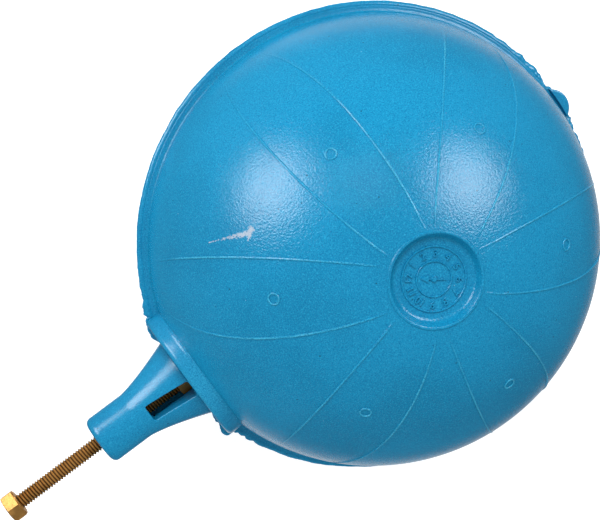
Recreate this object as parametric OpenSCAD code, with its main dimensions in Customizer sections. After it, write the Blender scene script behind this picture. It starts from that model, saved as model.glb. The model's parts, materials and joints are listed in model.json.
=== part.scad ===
// Bolt-on ball float for a water float valve.
// Two welded half shells, a moulded neck with a captive nut, and the long
// hexagon-head screw that clamps the float to the valve's lever arm.
// The origin is the centre of the neck's flat end, where the arm seats.
// +X runs out along the screw, and +Z is the pole of the front half shell.

/* [Ball] */
// Outside diameter of the ball
ball_d = 184; // [150:1:220]
// Thickness of the shell wall
wall_t = 2.5; // [1.8:0.1:4]

/* [Welded flange] */
// How far each half's flange stands out from the ball
flange_w = 2.6; // [2:0.1:6]
// Thickness of each half's flange
flange_t = 1.6; // [1.2:0.1:3]
// How far the weld bead stands out from the flange
bead_w = 1.9; // [1.2:0.1:3]
// Half thickness of the weld bead
bead_r = 1.6; // [1.2:0.1:2.4]

/* [Locating ear] */
// Radius of the rounded ear opposite the neck
ear_r = 7.8; // [5:0.1:12]
// How far the ear stands out from the ball
ear_reach = 6.6; // [5:0.1:8]
// Height of the ear on the front half
ear_front_h = 5; // [3:0.1:8]
// Height of the ear on the rear half
ear_rear_h = 3.2; // [2:0.1:8]
// Width of the slit between the ear and the ball
ear_slit = 3; // [0.6:0.1:4]

/* [Collar] */
// Diameter of the round collar
collar_d = 58; // [48:0.5:70]
// How far the collar's face stands above the ball's crown
collar_proud = 2; // [1:0.1:6]
// Radius of the rounding at the collar's edge
collar_edge_r = 2; // [1:0.1:3]

/* [Pole recess] */
// Radius of the recess at its rim
recess_r = 17.3; // [12:0.1:24]
// Radius of the recess's flat floor
recess_floor_r = 15.6; // [8:0.1:20]
// Depth of the recess below its rim
recess_depth = 3.2; // [2:0.1:6]
// Height of the low lip round the rim
recess_lip_h = 0.4; // [0.2:0.05:1]
// Width of the low lip round the rim
recess_lip_w = 1.2; // [0.8:0.1:3]

/* [Neck] */
// Distance from the ball's surface to the neck's flat end
neck_len = 45.5; // [39:0.5:70]
// Diameter of the straight part of the neck
neck_d = 20.5; // [18:0.1:26]
// Radius of the rounding at the neck's end
neck_edge_r = 2.6; // [0.8:0.1:3]
// Diameter of the flare where it meets the collar
flare_d = 35; // [32:0.5:44]
// Length of the flare
flare_len = 25.5; // [20:0.5:32]
// Diameter of the spigot that the two collar halves close round
spigot_d = 30; // [22:0.5:31]
// Diameter of the disc that keeps the neck inside the ball
keeper_d = 48; // [42:0.5:54]
// Thickness of the keeper disc
keeper_t = 4; // [2.5:0.1:6]

/* [Nut pocket] */
// Length of the window over the nut pocket
window_len = 19.8; // [16:0.1:21]
// Width of the window
window_w = 7; // [6.6:0.1:8]
// Play between the nut's flats and the pocket, each side
nut_play = 0.15; // [0.1:0.05:0.3]
// Distance from the nut's inner face to the plug
nut_stand_off = 1.6; // [1:0.1:3]
// Play between the plug and the pocket, each side
plug_play = 0.1; // [0.05:0.05:0.2]
// Diameter of the plug's cap
plug_cap_d = 19; // [16:0.5:24]
// Thickness of the plug's cap
plug_cap_t = 1.6; // [1:0.1:3]

/* [Screw and nut] */
// Outside diameter of the screw thread
screw_d = 6.35; // [5:0.05:7]
// Length of the screw under its head
screw_len = 82.5; // [78:0.5:110]
// Distance from the plug to the screw's tip
tip_gap = 2.6; // [0.3:0.1:4]
// Size of the hexagons across their flats
hex_af = 11.1; // [10:0.1:12]
// Thickness of the screw's head
head_t = 5.7; // [3:0.1:6]
// How far the washer face under the head lies inside the hexagon's flats
washer_step = 0.35; // [0.2:0.05:1]
// Thickness of the washer face
washer_face_t = 0.4; // [0.2:0.1:0.8]
// How far the corners are turned off, inside the hexagon's flats
corner_cut = 0.25; // [0.1:0.05:0.8]
// Length of the chamfer at the screw's tip
tip_chamfer = 0.7; // [0.4:0.1:1.2]
// How far the head is turned about its axis
head_turn = 14; // [0:1:59]
// Thickness of the nut
nut_t = 5.6; // [4:0.1:7]
// Play between the screw and the nut's bore, on the radius
thread_play = 0.05; // [0.02:0.01:0.1]
// Play between the screw and the hole along the neck, on the radius
hole_play = 0.09; // [0.05:0.01:0.1]

/* [Fits of the welded pieces] */
// Gap between pieces that are welded together
seat_gap = 0.1; // [0.05:0.05:0.2]

/* [Hidden] */
$fn = 96;
over = 1;
corner_slope = 30;
plastic = [0.125, 0.569, 0.745];
brass = [0.71, 0.49, 0.24];

ball_r = ball_d / 2;
neck_reach = ball_r + neck_len;
flange_r = ball_r + flange_w;
rim_r = flange_r + bead_w;
collar_r = collar_d / 2;
ear_centre = ball_r + ear_reach - ear_r;
collar_face = ball_r + collar_proud;
flare_end_r = flare_d / 2;
spigot_r = spigot_d / 2;
keeper_r = keeper_d / 2;
screw_r = screw_d / 2;

// Places along the neck, measured from the ball's centre.
window_in = collar_face + 0.3;
window_out = window_in + window_len;
collar_in = sqrt(pow(ball_r - wall_t / 2, 2) - pow(collar_r, 2));
keeper_out = min(collar_in, sqrt(pow(ball_r - wall_t, 2) - pow(keeper_r, 2))) - seat_gap;
keeper_in = keeper_out - keeper_t;
plug_end = collar_face - 2.2;
nut_in = plug_end + nut_stand_off;
tip_at = plug_end + tip_gap;
head_at = tip_at + screw_len;

recess_rim_z = sqrt(pow(ball_r, 2) - pow(recess_r, 2));
recess_top = recess_rim_z + recess_lip_h;
recess_floor_z = recess_rim_z - recess_depth;

// Puts a piece whose own axis is +Z, with z counted from the ball's centre, along the neck.
module along_neck() {
    translate([-neck_reach, 0, 0]) rotate([0, 90, 0]) children();
}

module at_ball() {
    translate([-neck_reach, 0, 0]) children();
}

function corner(r, z, edge, steps = 4) =
    [for (i = [0 : steps]) [r - edge + edge * sin(90 * i / steps), z - edge + edge * cos(90 * i / steps)]];

function reversed(points) = [for (i = [len(points) - 1 : -1 : 0]) points[i]];

module hexagon(af, h) {
    cylinder(r = af / 2 / cos(30), h = h, $fn = 6);
}

// ---- half shells ----

module wall_profile() {
    intersection() {
        difference() {
            circle(r = ball_r);
            circle(r = ball_r - wall_t);
        }
        square(ball_r + over);
    }
}

module recess_pan_profile() {
    polygon([
        [0, recess_floor_z - wall_t],
        [recess_floor_r + wall_t / 3, recess_floor_z - wall_t],
        [recess_r + wall_t, recess_rim_z - wall_t / 2],
        [recess_r + recess_lip_w + recess_lip_h, recess_rim_z - recess_lip_h],
        [recess_r + recess_lip_w, recess_top],
        [0, recess_top]
    ]);
}

module recess_void_profile() {
    polygon([
        [0, recess_floor_z],
        [recess_floor_r, recess_floor_z],
        [recess_r, recess_top],
        [recess_r, ball_r + over],
        [0, ball_r + over]
    ]);
}

module flange_half() {
    inner_r = ball_r - wall_t / 2;
    rotate([0, 0, 90]) rotate_extrude() translate([inner_r, 0]) square([flange_w + wall_t / 2, flange_t]);
}

// Half of the round collar that stands on the ball, above the weld plane.
module collar_half() {
    collar_end = reversed(corner(collar_r, collar_face, collar_edge_r));
    outline = concat([[0, collar_in], [collar_r, collar_in]], collar_end, [[0, collar_face]]);
    intersection() {
        rotate([0, 90, 0]) rotate_extrude() polygon(outline);
        translate([0, -collar_d, 0]) cube([ball_d, 2 * collar_d, collar_d]);
    }
}

// A rounded ear that rises from the flange's edge, with a slit behind it.
module ear(h) {
    difference() {
        translate([-ear_centre, 0, 0]) cylinder(r = ear_r, h = h);
        translate([0, 0, flange_t]) rotate_extrude() slit_profile();
        cylinder(r = ball_r - wall_t / 2, h = 3 * h, center = true);
    }
}

// All that lies nearer the ball's axis than the ear's inner face.
module slit_profile() {
    translate([0, -flange_t]) intersection() {
        circle(r = ball_r + ear_slit);
        translate([0, flange_t]) square(ball_r + ear_slit + over);
    }
}

// What both half shells share, above the weld plane; the wall's own profile is the child.
module half_shell(ear_h) {
    difference() {
        union() {
            rotate([0, 0, 90]) rotate_extrude() children();
            flange_half();
            collar_half();
            ear(ear_h);
        }
        rotate([0, 90, 0]) cylinder(r = spigot_r + seat_gap, h = ball_d);
    }
}

module front_shell() {
    color(plastic) at_ball() half_shell(ear_front_h) difference() {
        union() {
            wall_profile();
            recess_pan_profile();
        }
        recess_void_profile();
    }
}

module rear_shell() {
    color(plastic) at_ball() mirror([0, 0, 1]) half_shell(ear_rear_h) wall_profile();
}

// The rounded rim of plastic that the weld squeezes out round the two flanges.
module weld_bead() {
    color(plastic) at_ball() difference() {
        rotate_extrude() intersection() {
            translate([rim_r - bead_r, 0]) circle(r = bead_r);
            translate([flange_r + seat_gap, -bead_r]) square([bead_w + over, 2 * bead_r]);
        }
        rotate([0, 90, 0]) cylinder(r = collar_r + seat_gap, h = ball_d);
        translate([-ear_centre, 0, 0]) cylinder(r = ear_r + seat_gap, h = 4 * bead_r, center = true);
    }
}

// ---- neck ----

// The flare's radius falls smoothly from the collar to the straight neck.
function flare_radius(t) = neck_d / 2 + (flare_end_r - neck_d / 2) * pow(1 - t, 1.3);

// One outline from the keeper disc inside the ball to the neck's flat end.
module neck_profile() {
    flare_steps = 8;
    shoulder = collar_face + seat_gap;
    flare = [for (i = [0 : flare_steps]) let (t = i / flare_steps) [flare_radius(t), shoulder + flare_len * t]];
    neck_end = reversed(corner(neck_d / 2, neck_reach, neck_edge_r));
    polygon(concat(
        [[0, keeper_in], [keeper_r, keeper_in], [keeper_r, keeper_out]],
        [[spigot_r, keeper_out], [spigot_r, shoulder]],
        flare,
        neck_end,
        [[0, neck_reach]]
    ));
}

module neck_socket() {
    color(plastic) along_neck() difference() {
        rotate_extrude() neck_profile();
        translate([0, 0, keeper_in - over]) hexagon(hex_af + 2 * nut_play, window_out - keeper_in + over);
        cylinder(r = screw_r + hole_play, h = neck_reach + over);
        translate([-flare_end_r - over, -window_w / 2, window_in]) cube([flare_end_r + over, window_w, window_len]);
    }
}

// Closes the nut pocket's inner end, so that the ball stays watertight.
module pocket_plug() {
    color(plastic) along_neck() {
        translate([0, 0, keeper_in - plug_cap_t]) cylinder(d = plug_cap_d, h = plug_cap_t);
        translate([0, 0, keeper_in - over]) hexagon(hex_af + 2 * nut_play - 2 * plug_play, plug_end - keeper_in + over);
    }
}

// ---- nut and screw ----

// A cone that turns the corners off a hexagon of height h at its +Z end.
module corner_cone(h) {
    face_r = hex_af / 2 - corner_cut;
    cylinder(r1 = face_r + h / tan(corner_slope), r2 = face_r, h = h);
}

module captive_nut() {
    color(brass) along_neck() translate([0, 0, nut_in]) difference() {
        intersection() {
            hexagon(hex_af, nut_t);
            corner_cone(nut_t);
            translate([0, 0, nut_t]) mirror([0, 0, 1]) corner_cone(nut_t);
        }
        translate([0, 0, -over]) cylinder(r = screw_r + thread_play, h = nut_t + 2 * over);
    }
}

module fixing_bolt() {
    hex_t = head_t - washer_face_t;
    color(brass) along_neck() {
        translate([0, 0, tip_at]) cylinder(r1 = screw_r - tip_chamfer, r2 = screw_r, h = tip_chamfer);
        translate([0, 0, tip_at + tip_chamfer]) cylinder(r = screw_r, h = screw_len - tip_chamfer);
        translate([0, 0, head_at]) cylinder(r = hex_af / 2 - washer_step, h = washer_face_t);
        translate([0, 0, head_at + washer_face_t]) rotate([0, 0, head_turn]) intersection() {
            hexagon(hex_af, hex_t);
            corner_cone(hex_t);
        }
    }
}

front_shell();
rear_shell();
weld_bead();
neck_socket();
pocket_plug();
captive_nut();
fixing_bolt();
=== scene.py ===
"""A hollow plastic ball float with its flared neck, captive brass nut and long brass bolt.

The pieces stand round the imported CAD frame: metres, +X out along the bolt, +Z through the front
shell's pole, the weld plane at Z = 0 and the neck's flat end at the origin.
"""
import json
import math

import bmesh
import bpy
from mathutils import Matrix, Vector, noise


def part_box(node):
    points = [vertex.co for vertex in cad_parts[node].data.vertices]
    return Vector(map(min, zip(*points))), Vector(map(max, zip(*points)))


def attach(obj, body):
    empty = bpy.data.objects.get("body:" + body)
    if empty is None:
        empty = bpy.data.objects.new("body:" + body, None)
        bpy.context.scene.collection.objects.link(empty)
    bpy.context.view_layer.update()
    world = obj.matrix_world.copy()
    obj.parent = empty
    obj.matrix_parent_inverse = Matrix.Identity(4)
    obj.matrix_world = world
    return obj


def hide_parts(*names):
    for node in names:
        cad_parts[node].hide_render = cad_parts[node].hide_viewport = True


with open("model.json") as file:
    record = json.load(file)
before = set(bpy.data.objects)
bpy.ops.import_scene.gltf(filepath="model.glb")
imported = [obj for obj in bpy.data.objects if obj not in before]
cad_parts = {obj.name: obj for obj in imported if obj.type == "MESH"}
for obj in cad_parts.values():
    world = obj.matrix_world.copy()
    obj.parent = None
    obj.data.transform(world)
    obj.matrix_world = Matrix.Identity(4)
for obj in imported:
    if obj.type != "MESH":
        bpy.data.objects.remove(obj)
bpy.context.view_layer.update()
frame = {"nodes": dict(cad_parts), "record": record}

bl_info = {
    "name": "Ball float finish",
    "version": (1, 0, 0),
    "blender": (4, 5, 0),
    "location": "3D View > Sidebar > Ball float",
    "description": "Builds the shells, neck, nut, bolt and stage of a plastic ball float",
    "category": "Object",
}

MM = 0.001
TAU = 2 * math.pi


# ---- places that come from the frame ----

def lowest_point(node):
    """The lowest vertex of a CAD node at rest."""
    return min((v.co for v in frame["nodes"][node].data.vertices), key=lambda co: co.z)


BALL_X = lowest_point("rear_shell").x
BALL_CENTRE = Vector((BALL_X, 0, 0))
BALL_R = -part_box("rear_shell")[0].z
FLANGE_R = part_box("rear_shell")[1].y
RIM_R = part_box("weld_bead")[1].y
BEAD_HALF_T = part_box("weld_bead")[1].z
RECESS_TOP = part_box("front_shell")[1].z
COLLAR_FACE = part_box("front_shell")[1].x - BALL_X
EAR_TIP = BALL_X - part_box("front_shell")[0].x
NECK_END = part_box("neck_socket")[1].x - BALL_X
KEEPER_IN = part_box("neck_socket")[0].x - BALL_X
KEEPER_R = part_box("neck_socket")[1].y
PLUG_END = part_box("pocket_plug")[1].x - BALL_X
NUT_IN, NUT_OUT = (corner.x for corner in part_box("captive_nut"))
BOLT_TIP, BOLT_END = (corner.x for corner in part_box("fixing_bolt"))
MOUNTS = {mount["name"]: mount for mount in frame["record"]["mounts"]}
HEAD_SEAT = MOUNTS["head_seat"]["pos_m"][0]


# ---- what a user may change ----

class ShellSettings(bpy.types.PropertyGroup):
    """Sizes of the two half shells and of the weld between them."""

    wall: bpy.props.FloatProperty(
        name="Wall", description="Thickness of the ball's wall",
        default=2.5 * MM, min=1 * MM, unit="LENGTH")
    flange_t: bpy.props.FloatProperty(
        name="Flange", description="Thickness of each half's welding flange",
        default=1.6 * MM, min=0.5 * MM, unit="LENGTH")
    collar_r: bpy.props.FloatProperty(
        name="Collar radius", description="Radius of the round collar that the neck stands on",
        default=29 * MM, min=10 * MM, unit="LENGTH")
    spigot_r: bpy.props.FloatProperty(
        name="Neck hole radius", description="Radius of the hole for the neck's spigot",
        default=15.1 * MM, min=5 * MM, unit="LENGTH")
    recess_r: bpy.props.FloatProperty(
        name="Recess radius", description="Radius of the pole recess at its rim",
        default=17.3 * MM, min=5 * MM, unit="LENGTH")
    recess_floor_r: bpy.props.FloatProperty(
        name="Recess floor radius", description="Radius of the flat floor of the pole recess",
        default=15.6 * MM, min=4 * MM, unit="LENGTH")
    recess_depth: bpy.props.FloatProperty(
        name="Recess depth", description="Depth of the pole recess below its lip",
        default=3.6 * MM, min=0.5 * MM, unit="LENGTH")
    ear_r: bpy.props.FloatProperty(
        name="Ear radius", description="Radius of the rounded ear on the flange",
        default=7.8 * MM, min=2 * MM, unit="LENGTH")
    ear_slit: bpy.props.FloatProperty(
        name="Ear slit", description="Width of the slit between the ball and the ear",
        default=3 * MM, min=0.2 * MM, unit="LENGTH")
    ear_front_h: bpy.props.FloatProperty(
        name="Ear height, front", description="How far the front ear stands off the weld plane",
        default=5 * MM, min=2 * MM, unit="LENGTH")
    ear_rear_h: bpy.props.FloatProperty(
        name="Ear height, rear", description="How far the rear ear stands off the weld plane",
        default=3.2 * MM, min=2 * MM, unit="LENGTH")
    petals: bpy.props.IntProperty(
        name="Petals", description="Number of petals that the fine ribs draw on each half",
        default=6, min=3, max=12)
    petal_azimuth: bpy.props.FloatProperty(
        name="First petal", description="Direction of the first petal round the pole",
        default=math.radians(-87), subtype="ANGLE")
    rib_width: bpy.props.FloatProperty(
        name="Rib width", description="Width of the fine moulded ribs",
        default=0.95 * MM, min=0.2 * MM, unit="LENGTH")
    rib_height: bpy.props.FloatProperty(
        name="Rib height", description="Height of the fine moulded ribs",
        default=0.52 * MM, min=0.05 * MM, unit="LENGTH")
    flash: bpy.props.FloatProperty(
        name="Weld flash", description="How far the torn weld flash varies",
        default=1.4 * MM, min=0, unit="LENGTH")
    plastic: bpy.props.FloatVectorProperty(
        name="Plastic", description="Main colour of the plastic",
        default=(0.006, 0.24, 0.455), size=3, min=0, max=1, subtype="COLOR")
    plastic_shade: bpy.props.FloatVectorProperty(
        name="Plastic, deeper", description="Colour of the plastic's deeper clouds",
        default=(0.005, 0.20, 0.385), size=3, min=0, max=1, subtype="COLOR")


class NeckSettings(bpy.types.PropertyGroup):
    """Sizes of the neck that holds the nut."""

    neck_r: bpy.props.FloatProperty(
        name="Neck radius", description="Radius of the neck's straight end",
        default=10.25 * MM, min=5 * MM, unit="LENGTH")
    flare_r: bpy.props.FloatProperty(
        name="Flare radius", description="Radius of the flare where it meets the collar",
        default=17.5 * MM, min=6 * MM, unit="LENGTH")
    flare_len: bpy.props.FloatProperty(
        name="Flare length", description="Length of the flare from the collar",
        default=25.5 * MM, min=2 * MM, unit="LENGTH")
    edge_r: bpy.props.FloatProperty(
        name="End rounding", description="Radius of the rounding at the neck's end",
        default=2.6 * MM, min=0.5 * MM, unit="LENGTH")
    window_w: bpy.props.FloatProperty(
        name="Window width", description="Width of the window over the nut",
        default=7 * MM, min=2 * MM, unit="LENGTH")
    window_len: bpy.props.FloatProperty(
        name="Window length", description="Length of the window over the nut",
        default=19.8 * MM, min=4 * MM, unit="LENGTH")
    pocket_af: bpy.props.FloatProperty(
        name="Pocket across flats", description="Width of the nut's hexagonal pocket",
        default=11.9 * MM, min=5 * MM, unit="LENGTH")
    bore_r: bpy.props.FloatProperty(
        name="Bore radius", description="Radius of the hole that the bolt passes through",
        default=3.4 * MM, min=1 * MM, unit="LENGTH")


class BrassSettings(bpy.types.PropertyGroup):
    """Sizes and colours of the bolt and the nut."""

    screw_r: bpy.props.FloatProperty(
        name="Screw radius", description="Radius over the thread's crests",
        default=3.175 * MM, min=1 * MM, unit="LENGTH")
    pitch: bpy.props.FloatProperty(
        name="Pitch", description="Advance of the thread in one turn",
        default=1.27 * MM, min=0.3 * MM, unit="LENGTH")
    thread_depth: bpy.props.FloatProperty(
        name="Thread depth", description="Depth of the thread from crest to root",
        default=0.74 * MM, min=0.1 * MM, unit="LENGTH")
    thread_play: bpy.props.FloatProperty(
        name="Thread play", description="Clearance between the bolt's thread and the nut's",
        default=0.05 * MM, min=0, unit="LENGTH")
    hex_af: bpy.props.FloatProperty(
        name="Across flats", description="Width of the hexagons across their flats",
        default=11.1 * MM, min=4 * MM, unit="LENGTH")
    head_turn: bpy.props.FloatProperty(
        name="Head turn", description="How far the head is turned at rest",
        default=math.radians(14), subtype="ANGLE")
    brass: bpy.props.FloatVectorProperty(
        name="Brass", description="Colour of the clean brass",
        default=(0.68, 0.36, 0.10), size=3, min=0, max=1, subtype="COLOR")
    tarnish: bpy.props.FloatVectorProperty(
        name="Painted root shade", description="Colour of the brass in the thread's roots",
        default=(0.07, 0.028, 0.006), size=3, min=0, max=1, subtype="COLOR")


class StageSettings(bpy.types.PropertyGroup):
    """Camera, light and floor."""

    camera_from: bpy.props.FloatVectorProperty(
        name="Camera from", description="Where the camera stands, from the ball's centre",
        default=(0.08294, -0.21269, 0.70968), size=3, subtype="TRANSLATION", unit="LENGTH")
    camera_to: bpy.props.FloatVectorProperty(
        name="Camera to", description="What the camera looks at, from the ball's centre",
        default=(0.02887, -0.01098, 0), size=3, subtype="TRANSLATION", unit="LENGTH")
    camera_roll: bpy.props.FloatProperty(
        name="Camera roll", description="Turn of the camera about its own line of sight",
        default=math.radians(-128.85), subtype="ANGLE")
    camera_lens: bpy.props.FloatProperty(
        name="Lens", description="Focal length of the camera in millimetres",
        default=109.6, min=10, unit="CAMERA")
    softbox_power: bpy.props.FloatProperty(
        name="Softbox power", description="Power of each softbox",
        default=9, min=0, unit="POWER")
    fill_power: bpy.props.FloatProperty(
        name="Fill power", description="Power of the broad fill light",
        default=9, min=0, unit="POWER")
    surround: bpy.props.FloatProperty(
        name="Surround", description="Brightness of the white surroundings",
        default=0.8, min=0)
    reflected: bpy.props.FloatProperty(
        name="Reflected surround", description="Brightness of the surroundings in a reflection",
        default=0.05, min=0)
    floor_colour: bpy.props.FloatVectorProperty(
        name="Floor", description="Colour of the pale floor",
        default=(0.93, 0.93, 0.93), size=3, min=0, max=1, subtype="COLOR")


SETTINGS = (
    ("float_shell", ShellSettings),
    ("float_neck", NeckSettings),
    ("float_brass", BrassSettings),
    ("float_stage", StageSettings),
)


# ---- outlines ----

def arc(centre, radius, start, end, steps):
    """Points on an arc, with the angles in radians from the first axis towards the second."""
    points = []
    for i in range(steps + 1):
        angle = start + (end - start) * i / steps
        points.append((centre[0] + radius * math.cos(angle), centre[1] + radius * math.sin(angle)))
    return points


def rounded(corners, steps=5):
    """An outline through (x, y, radius) corners, each turned on an arc of its radius."""
    outline = []
    for i, (x, y, radius) in enumerate(corners):
        here = Vector((x, y))
        if radius == 0 or i in (0, len(corners) - 1):
            outline.append((x, y))
            continue
        back = (Vector(corners[i - 1][:2]) - here).normalized()
        ahead = (Vector(corners[i + 1][:2]) - here).normalized()
        half = back.angle(ahead) / 2
        centre = here + (back + ahead).normalized() * radius / math.sin(half)
        first = here + back * radius / math.tan(half) - centre
        last = here + ahead * radius / math.tan(half) - centre
        turn = first.angle_signed(last)
        for k in range(steps + 1):
            outline.append(tuple(centre + Matrix.Rotation(-turn * k / steps, 2) @ first))
    return outline


# ---- mesh tools ----

def add_quads(bm, near, far):
    """Faces between two closed rows of vertices; a row of one vertex makes a fan."""
    count = max(len(near), len(far))
    for i in range(count):
        j = (i + 1) % count
        if len(near) == 1:
            bm.faces.new((near[0], far[j], far[i]))
        elif len(far) == 1:
            bm.faces.new((near[i], near[j], far[0]))
        else:
            bm.faces.new((near[i], near[j], far[j], far[i]))


def lathe(outline, steps, ring=False):
    """A solid turned about +Z from (radius, height) points; a ring's outline closes on itself."""
    bm = bmesh.new()
    rows = []
    for radius, height in outline:
        if radius < 1e-7:
            rows.append([bm.verts.new((0, 0, height))])
            continue
        angles = [TAU * i / steps for i in range(steps)]
        rows.append([bm.verts.new((radius * math.cos(a), radius * math.sin(a), height)) for a in angles])
    for near, far in zip(rows, rows[1:] + rows[:1] if ring else rows[1:]):
        add_quads(bm, near, far)
    return finish_bmesh(bm, "lathe")


def prism(outline, low, high):
    """A straight solid on a closed (x, y) outline between two heights."""
    bm = bmesh.new()
    bottom = [bm.verts.new((x, y, low)) for x, y in outline]
    top = [bm.verts.new((x, y, high)) for x, y in outline]
    add_quads(bm, bottom, top)
    bm.faces.new(bottom)
    bm.faces.new(top)
    return finish_bmesh(bm, "prism")


def finish_bmesh(bm, name):
    """Turns a bmesh into an object with its faces looking outwards."""
    bmesh.ops.recalc_face_normals(bm, faces=bm.faces)
    mesh = bpy.data.meshes.new(name)
    bm.to_mesh(mesh)
    bm.free()
    obj = bpy.data.objects.new(name, mesh)
    bpy.context.scene.collection.objects.link(obj)
    return obj


def moved(obj, matrix):
    """Moves the mesh itself, so that every piece keeps its origin at the frame's."""
    obj.data.transform(matrix)
    if matrix.determinant() < 0:
        obj.data.flip_normals()
    return obj


def along_x():
    """Turns +Z of a lathe to +X and stands it on the ball's centre."""
    return Matrix.Translation(BALL_CENTRE) @ Matrix.Rotation(math.radians(90), 4, "Y")


def apply_modifiers(obj):
    """Writes the modified mesh into the object and drops its modifiers."""
    bpy.context.view_layer.update()
    evaluated = obj.evaluated_get(bpy.context.evaluated_depsgraph_get())
    mesh = bpy.data.meshes.new_from_object(evaluated)
    obj.modifiers.clear()
    old = obj.data
    obj.data = mesh
    bpy.data.meshes.remove(old)
    return obj


def combine(obj, others, operation):
    """Joins, cuts or intersects a solid with others, which are used up."""
    for other in others:
        modifier = obj.modifiers.new("combine", "BOOLEAN")
        modifier.operation = operation
        modifier.solver = "MANIFOLD"
        modifier.object = other
    apply_modifiers(obj)
    for other in others:
        mesh = other.data
        bpy.data.objects.remove(other)
        bpy.data.meshes.remove(mesh)
    if not obj.data.polygons:
        raise RuntimeError(f"{obj.name}: {operation} left nothing")
    return obj


def join_meshes(name, objs):
    """One object that holds several separate solids."""
    bm = bmesh.new()
    for obj in objs:
        bm.from_mesh(obj.data)
        mesh = obj.data
        bpy.data.objects.remove(obj)
        bpy.data.meshes.remove(mesh)
    return finish_bmesh(bm, name)


def finish_piece(obj, name, body, material, replaces=(), sharp=35):
    """Names a piece, shades it, gives it its finish and sets what it rides on and stands for."""
    obj.name = name
    obj.data.name = name
    obj.data.shade_smooth()
    obj.data.set_sharp_from_angle(angle=math.radians(sharp))
    obj.data.materials.clear()
    obj.data.materials.append(material)
    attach(obj, body)
    if replaces:
        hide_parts(*replaces)
    return obj


# ---- shader tools ----

def add_node(tree, kind, inputs=None, **settings):
    """Adds a shader node, sets its options, and sets or links its inputs."""
    node = tree.nodes.new(kind)
    for key, value in settings.items():
        setattr(node, key, value)
    for key, value in (inputs or {}).items():
        if isinstance(value, bpy.types.NodeSocket):
            tree.links.new(value, node.inputs[key])
        else:
            node.inputs[key].default_value = value
    return node


def maths(tree, operation, *values):
    """A Math node's result."""
    return add_node(tree, "ShaderNodeMath", dict(enumerate(values)), operation=operation).outputs[0]


def remap(tree, value, low, high, to_low=0.0, to_high=1.0):
    """A value stretched from one range to another, smoothly and held at both ends."""
    inputs = {"Value": value, "From Min": low, "From Max": high, "To Min": to_low, "To Max": to_high}
    node = add_node(tree, "ShaderNodeMapRange", inputs, interpolation_type="SMOOTHSTEP")
    return node.outputs["Result"]


def noise_value(tree, where, scale, detail=2.0, roughness=0.5):
    """Noise over the piece's own coordinates, from 0 to 1."""
    inputs = {"Vector": where, "Scale": scale, "Detail": detail, "Roughness": roughness}
    return add_node(tree, "ShaderNodeTexNoise", inputs).outputs["Fac"]


def blend_colour(tree, mask, below, above):
    """Two colours mixed by a mask; each may be a socket or a plain colour."""
    colours = []
    for colour in (below, above):
        colours.append(colour if isinstance(colour, bpy.types.NodeSocket) else (*colour, 1))
    inputs = {0: mask, 6: colours[0], 7: colours[1]}
    return add_node(tree, "ShaderNodeMix", inputs, data_type="RGBA").outputs[2]


def new_group(name, inputs, outputs):
    """An empty node group with named sockets, and its input and output nodes."""
    group = bpy.data.node_groups.new(name, "ShaderNodeTree")
    for label, kind, default in inputs:
        socket = group.interface.new_socket(label, in_out="INPUT", socket_type=kind)
        socket.default_value = default
    for label, kind in outputs:
        group.interface.new_socket(label, in_out="OUTPUT", socket_type=kind)
    return group, group.nodes.new("NodeGroupInput"), group.nodes.new("NodeGroupOutput")


def place_group(tree, group, inputs):
    """Puts a node group into a material with its own values."""
    return add_node(tree, "ShaderNodeGroup", inputs, node_tree=group)


def grain_group():
    """Fine grain and slow waves of a surface, as a height and two masks for its tone."""
    group = bpy.data.node_groups.get("Surface grain")
    if group:
        return group
    inputs = (
        ("Grain Scale", "NodeSocketFloat", 1500.0),
        ("Bump Scale", "NodeSocketFloat", 1500.0),
        ("Wave Scale", "NodeSocketFloat", 90.0),
        ("Wave Share", "NodeSocketFloat", 0.5),
    )
    outputs = [(label, "NodeSocketFloat") for label in ("Height", "Fine", "Cloud")]
    group, given, result = new_group("Surface grain", inputs, outputs)
    where = add_node(group, "ShaderNodeTexCoord").outputs["Object"]
    fine = noise_value(group, where, given.outputs["Grain Scale"], 3.0, 0.6)
    bumps = noise_value(group, where, given.outputs["Bump Scale"], 2.0)
    wave = noise_value(group, where, given.outputs["Wave Scale"], 2.0)
    waves = maths(group, "MULTIPLY", wave, given.outputs["Wave Share"])
    group.links.new(maths(group, "ADD", bumps, waves), result.inputs["Height"])
    group.links.new(fine, result.inputs["Fine"])
    cloud_scale = maths(group, "MULTIPLY", given.outputs["Wave Scale"], 0.2)
    cloud = noise_value(group, where, cloud_scale, 3.0)
    group.links.new(remap(group, cloud, 0.35, 0.65), result.inputs["Cloud"])
    return group


def speck_group():
    """Small round specks, each in its own cell, with only some cells holding one."""
    group = bpy.data.node_groups.get("Specks")
    if group:
        return group
    inputs = (
        ("Scale", "NodeSocketFloat", 200.0),
        ("Size", "NodeSocketFloat", 0.1),
        ("Share", "NodeSocketFloat", 0.2),
    )
    group, given, result = new_group("Specks", inputs, (("Mask", "NodeSocketFloat"),))
    where = add_node(group, "ShaderNodeTexCoord").outputs["Object"]
    cells = add_node(group, "ShaderNodeTexVoronoi", {"Vector": where, "Scale": given.outputs["Scale"]})
    near = maths(group, "LESS_THAN", cells.outputs["Distance"], given.outputs["Size"])
    pick = add_node(group, "ShaderNodeSeparateColor", {"Color": cells.outputs["Color"]}).outputs[0]
    held = maths(group, "LESS_THAN", pick, given.outputs["Share"])
    group.links.new(maths(group, "MULTIPLY", near, held), result.inputs["Mask"])
    return group


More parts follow.
